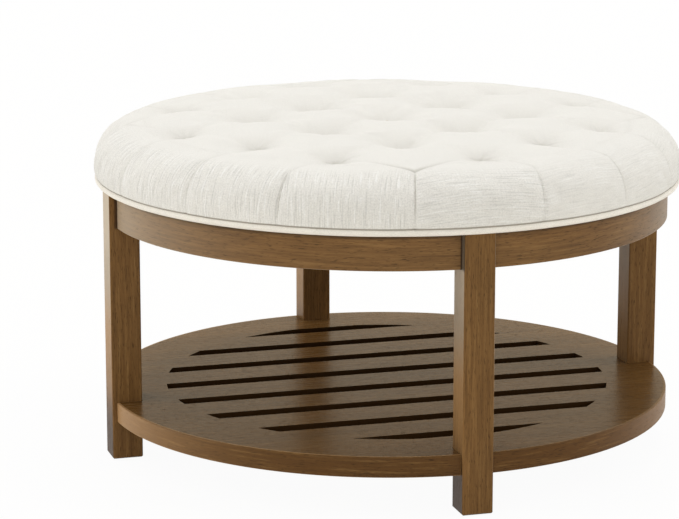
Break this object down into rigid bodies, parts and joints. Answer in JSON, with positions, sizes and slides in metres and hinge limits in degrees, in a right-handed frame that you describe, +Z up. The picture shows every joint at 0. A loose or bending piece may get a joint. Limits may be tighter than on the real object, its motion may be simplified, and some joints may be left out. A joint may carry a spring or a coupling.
{
  "type": "ottoman coffee table",
  "caption": "Round tufted ottoman table with a padded woven top, curved wooden aprons, square legs and a round slotted lower shelf.",
  "frame": {"origin": "on the floor below the centre of the round top", "axes": "+Z up; the legs stand on the X and Y axes, the front one on -Y, and the shelf's slots run along X"},
  "size_m": [0.8128, 0.8128, 0.4698],
  "materials": {
    "stained_wood": "stained mid-brown veneer, satin",
    "shelf_veneer": "stained mid-brown veneer, satin",
    "woven_cover": "ivory slubbed linen weave",
    "woven_piping": "ivory linen weave over cord",
    "foam": "open-cell foam",
    "plywood": "raw plywood",
    "dust_cloth": "black spun-bonded cloth",
    "twine": "waxed twine",
    "retainer_plastic": "moulded",
    "plain_wood": "raw hardwood",
    "bracket_steel": "black powder coat",
    "glide_plastic": "moulded nylon",
    "zinc_steel": "zinc plated"
  },
  "bodies": {
    "root": {"apron_back_left": "stained_wood", "apron_back_right": "stained_wood", "apron_front_left": "stained_wood", "apron_front_right": "stained_wood", "block_screws": "zinc_steel", "bracket_screws": "zinc_steel", "corner_block_back": "plain_wood", "corner_block_front": "plain_wood", "corner_block_left": "plain_wood", "corner_block_right": "plain_wood", "cushion_cover": "woven_cover", "deck_screws": "zinc_steel", "dust_cover": "dust_cloth", "foot_glide_back": "glide_plastic", "foot_glide_front": "glide_plastic", "foot_glide_left": "glide_plastic", "foot_glide_right": "glide_plastic", "leg_back": "stained_wood", "leg_bolt_nuts": "zinc_steel", "leg_bolt_washers": "zinc_steel", "leg_bolts": "zinc_steel", "leg_front": "stained_wood", "leg_left": "stained_wood", "leg_right": "stained_wood", "piping": "woven_piping", "rail_dowels": "plain_wood", "seat_deck": "plywood", "seat_foam": "foam", "shelf_band_back_left": "stained_wood", "shelf_band_back_right": "stained_wood", "shelf_band_front_left": "stained_wood", "shelf_band_front_right": "stained_wood", "shelf_board": "shelf_veneer", "shelf_bracket_back": "bracket_steel", "shelf_bracket_front": "bracket_steel", "shelf_bracket_left": "bracket_steel", "shelf_bracket_right": "bracket_steel", "shelf_screws": "zinc_steel", "tuft_retainers": "retainer_plastic", "tuft_twines": "twine"}
  },
  "joints": []
}
